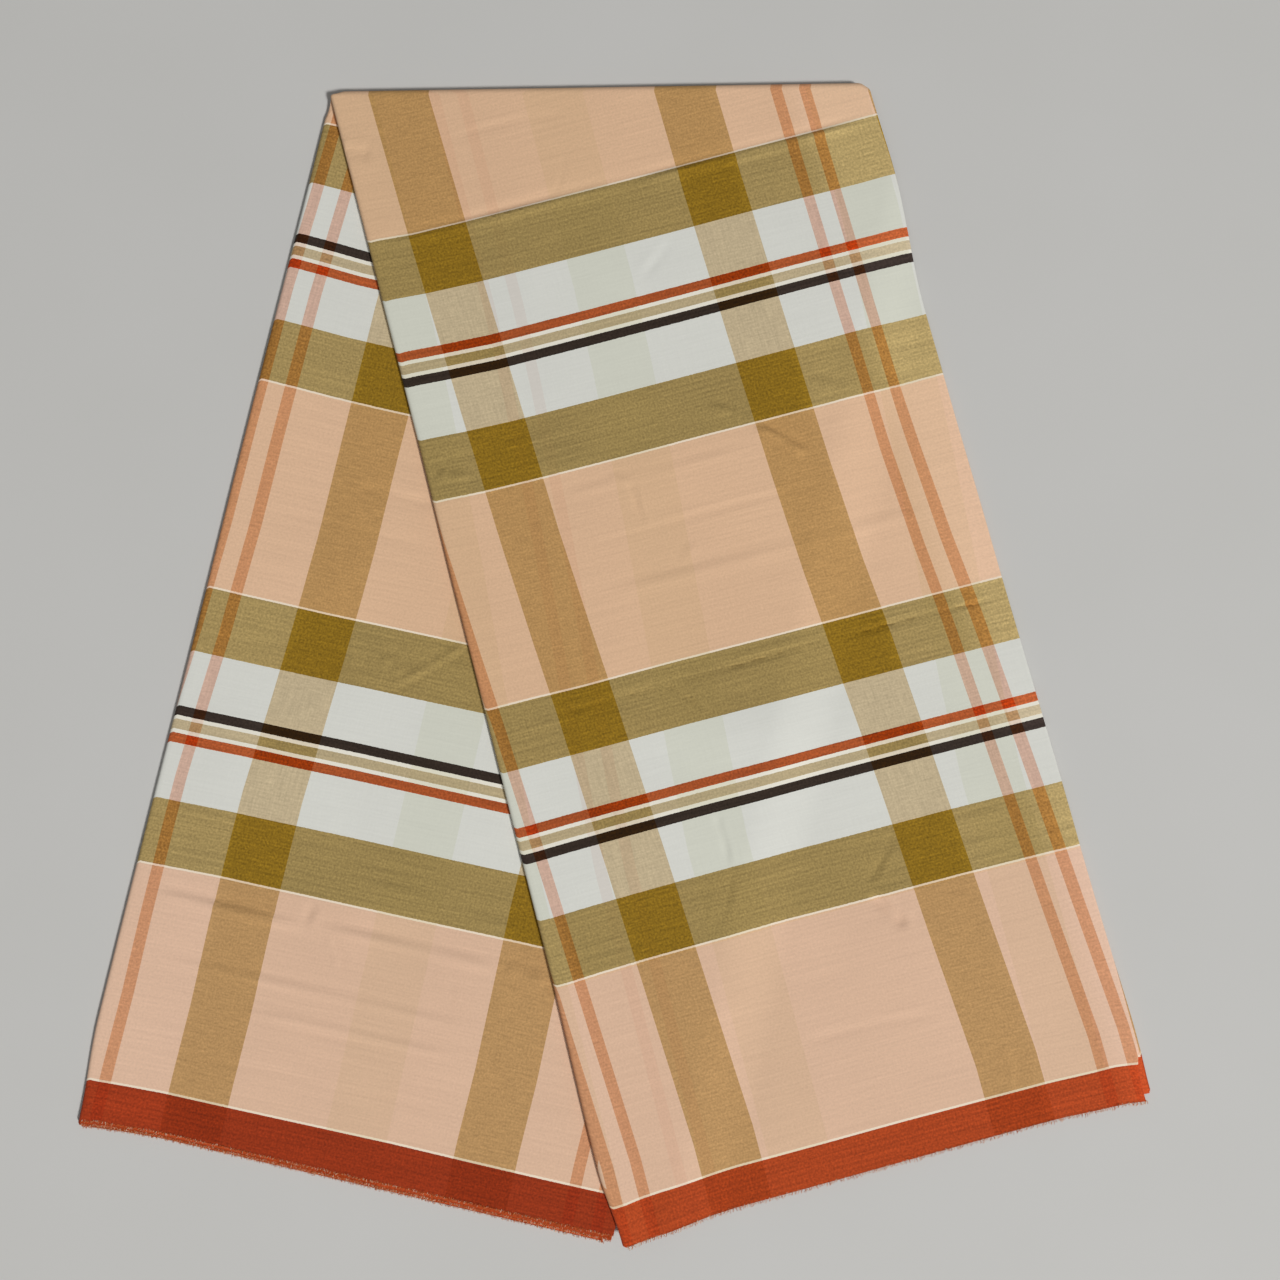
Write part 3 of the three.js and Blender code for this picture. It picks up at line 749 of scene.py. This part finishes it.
front_outside = wrapped_path(0, fine_stops, coarse_stops, FOLD_STEPS, rolled=True)
front_leaf_cloth, front_hems = face_ply(
    "front_leaf_cloth", 0, front_outside, UPPER_ROWS, FACE_BACK["upper"], upper_place, upper_pattern
)
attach(front_leaf_cloth, "root")
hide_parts("front_leaf")

# Frayed selvedge. Where the loom's weft turned back round the border its loops stand out of the hem as soft
# single yarns, 0.5 to 2 mm long, cream, peach and orange, about three to a millimetre. Drawn 0.2 mm thick,
# as fine as shows from above.
soft_yarn = {"Roughness": 0.9, "Specular IOR Level": 0.15}
frayed_yarn, yarn_tree, yarn_shader = new_material("frayed_single_cotton_yarn", soft_yarn)
yarn_pick = add_node(yarn_tree, "ShaderNodeAttribute", attribute_name="yarn", attribute_type="GEOMETRY")
yarn_colours = add_node(yarn_tree, "ShaderNodeValToRGB", (yarn_pick.outputs["Fac"],))
yarn_stops = yarn_colours.color_ramp.elements
yarn_stops.remove(yarn_stops[-1])
yarn_stops[0].color = linear("#F1DCC4")
for spot, colour in ((0.2, "#E2B48E"), (0.45, "#CF7A42"), (1.0, "#B4552A")):
    yarn_stops.new(spot).color = linear(colour)
yarn_tree.links.new(yarn_colours.outputs["Color"], yarn_shader.inputs["Base Color"])

fray = bpy.data.node_groups.new("frayed_hem", "GeometryNodeTree")
fray.interface.new_socket("Hem", in_out="INPUT", socket_type="NodeSocketGeometry")
for size in ("Spacing", "Length", "Thickness", "Heading"):
    fray.interface.new_socket(size, in_out="INPUT", socket_type="NodeSocketFloat")
fray.interface.new_socket("Seed", in_out="INPUT", socket_type="NodeSocketInt")
fray.interface.new_socket("Threads", in_out="OUTPUT", socket_type="NodeSocketGeometry")
fray_input = {item.name: item.identifier for item in fray.interface.items_tree if item.in_out == "INPUT"}
hem = fray.nodes.new("NodeGroupInput").outputs


def random_value(low, high, salt):
    """A random number for each thread between low and high, another one for each salt."""
    seed = add_node(fray, "FunctionNodeIntegerMath", (hem["Seed"], salt), operation="ADD")
    return add_node(fray, "FunctionNodeRandomValue", {2: low, 3: high, "Seed": seed}, data_type="FLOAT")


hem_curve = add_node(fray, "GeometryNodeMeshToCurve", {"Mesh": hem["Hem"]})
spots = {"Curve": hem_curve, "Length": hem["Spacing"]}
spots = add_node(fray, "GeometryNodeResampleCurve", spots, mode="LENGTH")
ranges = ((-0.3, 0.3), (-0.2, 0.8), (0, 0.15))
strewn = [random_value(low * MM, high * MM, salt) for salt, (low, high) in enumerate(ranges, 1)]
offset = add_node(fray, "ShaderNodeCombineXYZ", strewn)
spots = add_node(fray, "GeometryNodeSetPosition", {"Geometry": spots, "Offset": offset})
bend = {"Resolution": 4, "Start": (0, 0, 0)}
for point, direction in (("Middle", (0.5, 0.28, 0.08)), ("End", (1, -0.1, -0.06))):
    scaled = {0: direction, "Scale": hem["Length"]}
    bend[point] = add_node(fray, "ShaderNodeVectorMath", scaled, operation="SCALE")
thread = add_node(fray, "GeometryNodeCurveQuadraticBezier", bend)
half_thick = add_node(fray, MATH, (hem["Thickness"], 0.5), operation="MULTIPLY")
round_yarn = add_node(fray, "GeometryNodeCurvePrimitiveCircle", {"Resolution": 3, "Radius": half_thick})
thread = {"Curve": thread, "Profile Curve": round_yarn, "Fill Caps": True}
thread = add_node(fray, "GeometryNodeCurveToMesh", thread)
yaw = add_node(fray, MATH, (hem["Heading"], random_value(-0.7, 0.7, 4)), operation="ADD")
turned = (random_value(-0.6, 0.6, 5), random_value(-0.2, 0.12, 6), yaw)
turned = add_node(fray, "ShaderNodeCombineXYZ", turned)
threads = {"Points": spots, "Instance": thread, "Rotation": turned, "Scale": random_value(0.5, 1.35, 7)}
threads = add_node(fray, "GeometryNodeInstanceOnPoints", threads)
picked = {"Geometry": threads, "Name": "yarn", "Value": random_value(0, 1, 8)}
threads = add_node(fray, "GeometryNodeStoreNamedAttribute", picked, data_type="FLOAT", domain="INSTANCE")
threads = add_node(fray, "GeometryNodeRealizeInstances", {"Geometry": threads})
threads = add_node(fray, "GeometryNodeSetMaterial", {"Geometry": threads, "Material": frayed_yarn})
add_node(fray, "NodeGroupOutput", {"Threads": threads})


def frayed_hem(name, lines, length, heading, seed):
    """Threads along lines of points, in millimetres, as a plain mesh object."""
    sizes = {
        "Spacing": 0.32 * MM,
        "Length": length * MM,
        "Thickness": 0.2 * MM,
        "Heading": heading,
        "Seed": seed,
    }
    mesh = bpy.data.meshes.new(name)
    points = np.vstack(lines) * MM + np.array([FOLD_X, FOLD_Y, 0])
    ends = np.cumsum([len(line) for line in lines])
    mesh.from_pydata(points, [(i, i + 1) for i in range(len(points) - 1) if i + 1 not in ends], [])
    piece = bpy.data.objects.new(name, mesh)
    bpy.context.scene.collection.objects.link(piece)
    modifier = piece.modifiers.new("fray", "NODES")
    modifier.node_group = fray
    for socket, value in sizes.items():
        modifier[fray_input[socket]] = value
    evaluated = piece.evaluated_get(bpy.context.evaluated_depsgraph_get())
    piece.data = bpy.data.meshes.new_from_object(evaluated)
    piece.modifiers.clear()
    return piece


THREAD_LIFT = [0, 0, 0.05]  # off the hem's edge
front_hem_line = front_hems[0] + THREAD_LIFT
front_hem_threads = frayed_hem("front_hem_threads", [front_hem_line], 1.5, LEAN - pi / 2, seed=21)
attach(front_hem_threads, "root")

# Lower leaf. The stretch of the same length that shows to the left, under the upper leaf, with its pressed
# face up. Its hem steps out ply by ply, because each ply went a little further round the fold-over.
LOWER_OUTLINE = {"share": [0, 0.4, 0.9, 1], "left": [0, -1.2, -2.2, 0.8], "right": [0, 0, 0, -1]}
LOWER_HEM = {"share": [0, 0.05, 0.16, 0.4, 1], "back": [1.7, 3.6, 4.9, 4.6, 4.3]}
CLEAR_START, CLEAR_END = 32.0, 64.0  # the lower leaf swells only this far from the upper leaf's edge
UNDER_EDGE = (-1.0, 8.0)  # and its creases start at that edge
LOWER_SWELLS = [
    (35, 120, 40, 70, 0.5),
    (60, 265, 55, 40, 0.8),
    (40, 370, 50, 60, 0.5),
    (120, 440, 90, 28, 0.9),
    (150, 530, 70, 45, 0.5),
]
LOWER_CREASES = [
    ((143, 265), (103, 301), 1.6, 1.6, 0.92),
    ((132, 261), (145, 268), 0.4, 1.5, 0.53),
    ((79, 275), (85, 297), 0.8, 1.5, 0.29),
    ((86, 274), (93, 298), 0.6, 1.5, -0.29),
    ((93, 273), (102, 297), 0.9, 1.5, 0.29),
    ((97.8, 284.4), (111.8, 292.4), 0.3, 3.1, 0.90),
    ((12, 428), (96, 429), -0.8, 2.5, 1.12),
    ((93, 427.7), (198, 429.2), 0.9, 2.5, 0.85),
    ((196.2, 426), (220.2, 431), 0.7, 2.5, 0.90),
    ((93.8, 415.8), (91.8, 428.8), 0.0, 2.5, -0.52),
    ((103.8, 431.1), (113.8, 446.1), 0.8, 1.3, 0.37),
    ((205, 415), (220, 433), 1.4, 1.6, 0.53),
    ((12, 460.5), (192, 461), 0.7, 2.0, 0.57),
    ((70, 476.5), (190, 477.5), 0.5, 2.5, 0.37),
    ((62, 481.8), (186, 479.8), 0.9, 1.6, -0.35),
    ((20, 505), (190, 504), 1.0, 1.5, -0.26),
    ((60, 200.7), (128, 202.7), 0.8, 3.1, -0.66),
    ((16, 222), (150, 224), 0.7, 1.5, -0.26),
    ((18, 30), (27, 29), 0.8, 2.0, 0.16),
    ((2, 300), (12, 296), 0.6, 1.5, 0.25),
    ((171, 440), (175, 452), 0.3, 1.5, -0.19),
    ((150, 540), (172, 545), 0.6, 1.8, 0.59),
]


def lower_place(across, share, depth, back, creased):
    """Points of the lower leaf, which lies upside down under the upper one, and where they are on it."""
    pull = fold_pull(across, 1)
    full = LOWER_RUN + across * tan(LEAN) - eased(LOWER_HEM, across / STRIP_WIDTH, "back")
    run = pull + share * (full - back - pull)
    left, right = (eased(LOWER_OUTLINE, share, side) for side in ("left", "right"))
    side = across + left + (right - left) * across / STRIP_WIDTH
    x = side / cos(LEAN) - TURN_SLIDE - run * sin(LEAN)
    y = -run * cos(LEAN)
    down = run - across * tan(LEAN)
    from_upper = -y * tan(LEAN) - x
    swell = swell_height(LOWER_SWELLS, across, run) * clipped(from_upper, CLEAR_START, CLEAR_END)
    crease = creased * crease_height(LOWER_CREASES, across, down) * clipped(from_upper, *UNDER_EDGE)
    z = STRIP_DEPTH - depth + swell * (1 - depth / STRIP_DEPTH) + crease
    return np.stack([x, y, z], -1), down, side


back_outside = wrapped_path(0, coarse_stops, fine_stops, FOLD_STEPS, rolled=True)
back_leaf_cloth, back_hems = face_ply(
    "back_leaf_cloth", 1, back_outside, LOWER_ROWS, FACE_BACK["lower"], lower_place, lower_pattern
)
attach(back_leaf_cloth, "root")
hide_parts("back_leaf")

# Folded plies. The other six plies of the same cotton, three nested ones that wrap round the left edge
# inside the face ply and run through both leaves. They show as layered edges at the hems, on the right and
# at the thick left fold. upper and lower are how far each limb's hem stands back, tuck how far its right
# edge does.
FOLDED_PLIES = [
    {"inset": 0.50, "upper": (1.3, 3.2), "lower": (0.5, 2.6), "tuck": 1.0},
    {"inset": 1.00, "upper": (2.2, 3.6), "lower": (0.8, 2.2), "tuck": 0.6},
    {"inset": 1.48, "upper": (2.7, 3.0), "lower": (1.3, 1.9), "tuck": 1.2},
]
OUTER_TUCK = 1.3  # inside the rolled edge
PRESSED = 0.8  # how far they are pressed together between the leaves' faces
GHOST_SHIFT = 60.0  # between one ply's stripes and the next's
folded_stops = list(np.linspace(EDGE_RADIUS + 3, STRIP_WIDTH - 4, 30)) + [STRIP_WIDTH - 1.5, STRIP_WIDTH]
folded_shares = np.concatenate([np.linspace(0, 0.96, 58), np.linspace(0.97, 1, 5)])[:, None]
folded_points, folded_faces, folded_pattern = [], [], []
hem_lines = [back_hems[1] + THREAD_LIFT, back_hems[0] + THREAD_LIFT + [0, 0, PLY]]
for number, ply in enumerate(FOLDED_PLIES):
    outside = wrapped_path(ply["inset"], folded_stops, folded_stops, FOLD_STEPS, rolled=False)
    inside = wrapped_path(ply["inset"] + PLY, coarse_stops, coarse_stops, FOLD_STEPS, rolled=False)[::-1]
    ring = np.vstack([outside, inside])
    limb = ring[:, 2]

    def drawn_in(shares):
        """Places across and depths: right ends drawn back, the middle pressed together, clear of creases."""
        across = tucked(ring, shares) - (OUTER_TUCK * (1 - limb) + ply["tuck"]) * at_right(ring[:, 0])
        pressed = off_edges(ring[:, 0]) * (1 - clipped(shares, *NEAR_HEM)) * PRESSED
        return across, ring[:, 1] + (EDGE_RADIUS - ring[:, 1]) * pressed

    across, depth = drawn_in(folded_shares)
    back = limb_back(ply["upper"], limb, across)
    upper, down, side = upper_place(across, folded_shares, depth, back, 0)
    upper_check = upper_pattern(ring, side, down, back)
    back = limb_back(ply["lower"], limb, across)
    lower, down, side = lower_place(across, folded_shares, depth, back, 0)
    lower_check = lower_pattern(ring, side, down, back)
    turns = np.linspace(0, 1, 15)[1:-1, None]
    turn_across, turn_depth = drawn_in(np.zeros_like(turns))
    turn = turn_place(turn_across, turns, turn_depth)
    turn_check = turn_pattern(ring, turn_across, turns)
    # These plies show the other selvedge's rust, and their stripes lie where the folding has put them.
    lower_check[..., 1] = BORDER_TO_BORDER - lower_check[..., 1]
    check = np.concatenate([upper_check[::-1], turn_check, lower_check])
    check[..., 0] = check[..., 2] + GHOST_SHIFT * number
    points, faces = sweep_shell(np.concatenate([upper[::-1], turn, lower]), len(outside))
    if number < 2:
        hem_lines.append(lower[-1][: len(outside)][outside[:, 2] == 1])
    start = sum(len(p) for p in folded_points)
    folded_points.append(points)
    folded_faces += [[start + k for k in face] for face in faces]
    folded_pattern.append(check.reshape(-1, 3))
folded_plies = cloth_piece(
    "folded_plies", np.vstack(folded_points), folded_faces, np.vstack(folded_pattern), cotton
)
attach(folded_plies, "root")
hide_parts("inner_plies")

# Frayed selvedge of the lower leaf, on its face ply and on the next ones, as far as the upper leaf's edge
in_view = [line[-line[:, 1] * tan(LEAN) - line[:, 0] > 1] for line in hem_lines]
back_hem_threads = frayed_hem("back_hem_threads", in_view, 0.9, -LEAN - pi / 2, seed=58)
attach(back_hem_threads, "root")
